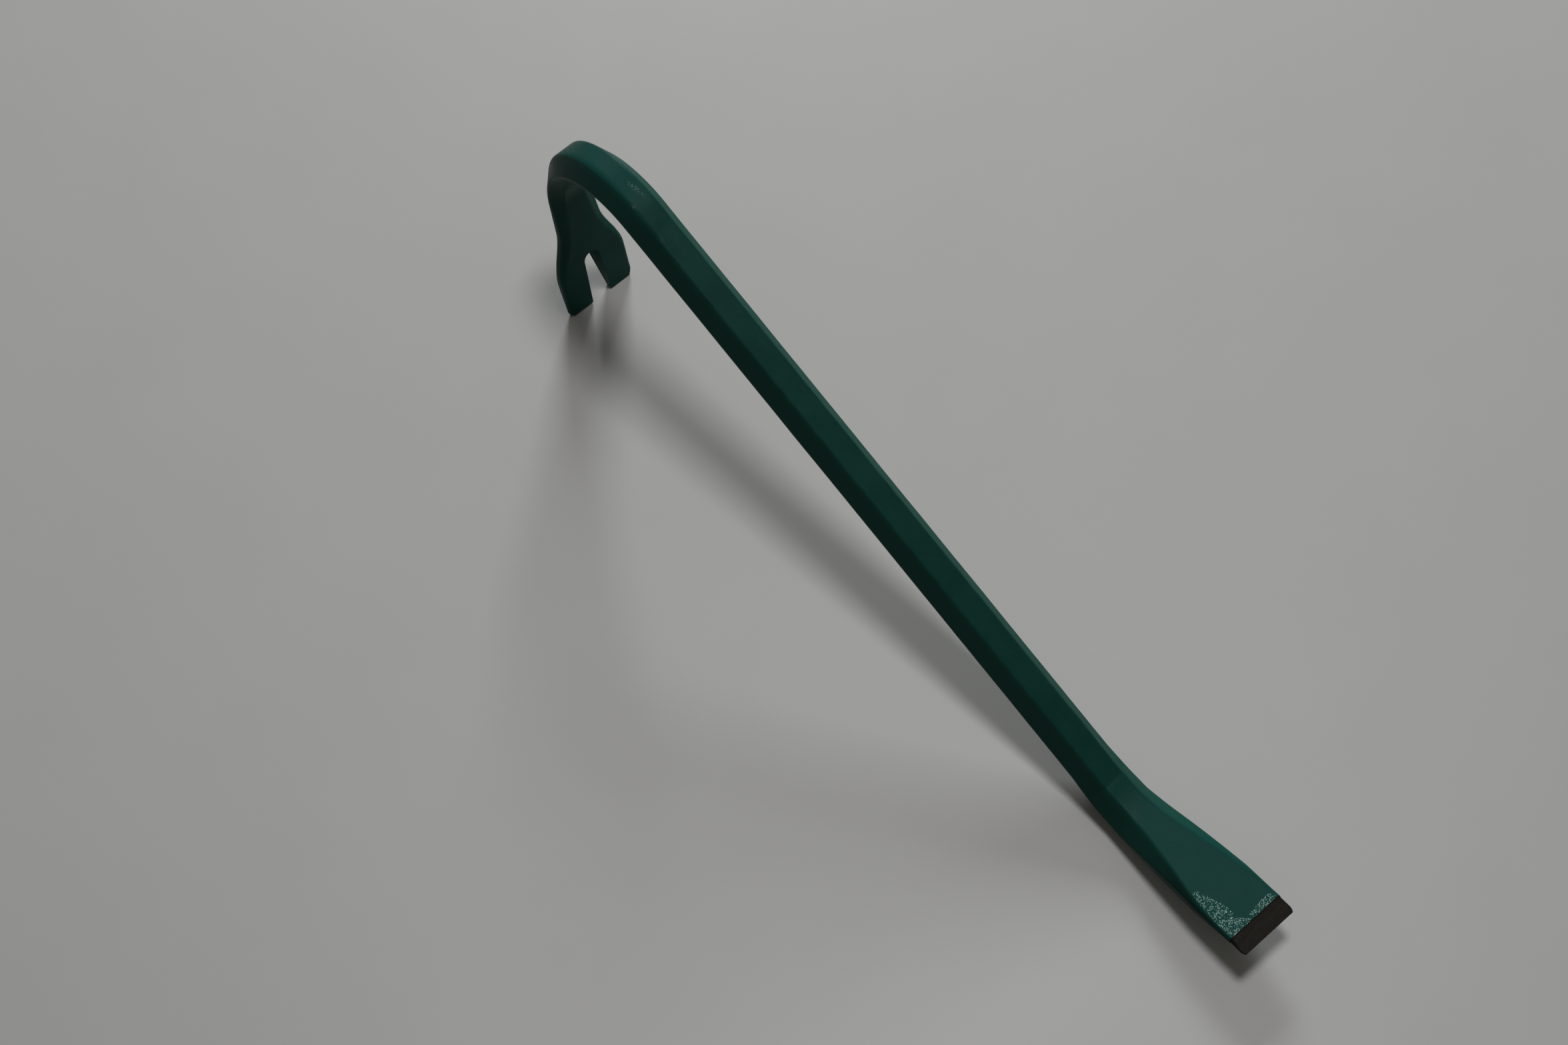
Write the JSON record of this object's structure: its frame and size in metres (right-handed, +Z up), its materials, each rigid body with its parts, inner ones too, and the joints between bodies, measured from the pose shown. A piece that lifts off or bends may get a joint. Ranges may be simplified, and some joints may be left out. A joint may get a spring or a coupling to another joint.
{
  "type": "gooseneck wrecking bar",
  "caption": "Hexagonal steel bar bent into a slotted nail-pulling claw at one end and set up into a flat chisel blade at the other, with a green enamel coat.",
  "frame": {"origin": "on the ground, under the middle of the bar's whole length, in its plane of symmetry", "axes": "+X from the claw towards the chisel, +Z up from the ground that the bar rests on, Y across the bar"},
  "size_m": [0.395, 0.033, 0.1132],
  "materials": {
    "steel": "ground and browned by light rust, matt",
    "enamel": "semi-gloss dipped enamel"
  },
  "bodies": {
    "root": {"steel_bar": "steel", "enamel_coat": "enamel"}
  },
  "joints": []
}
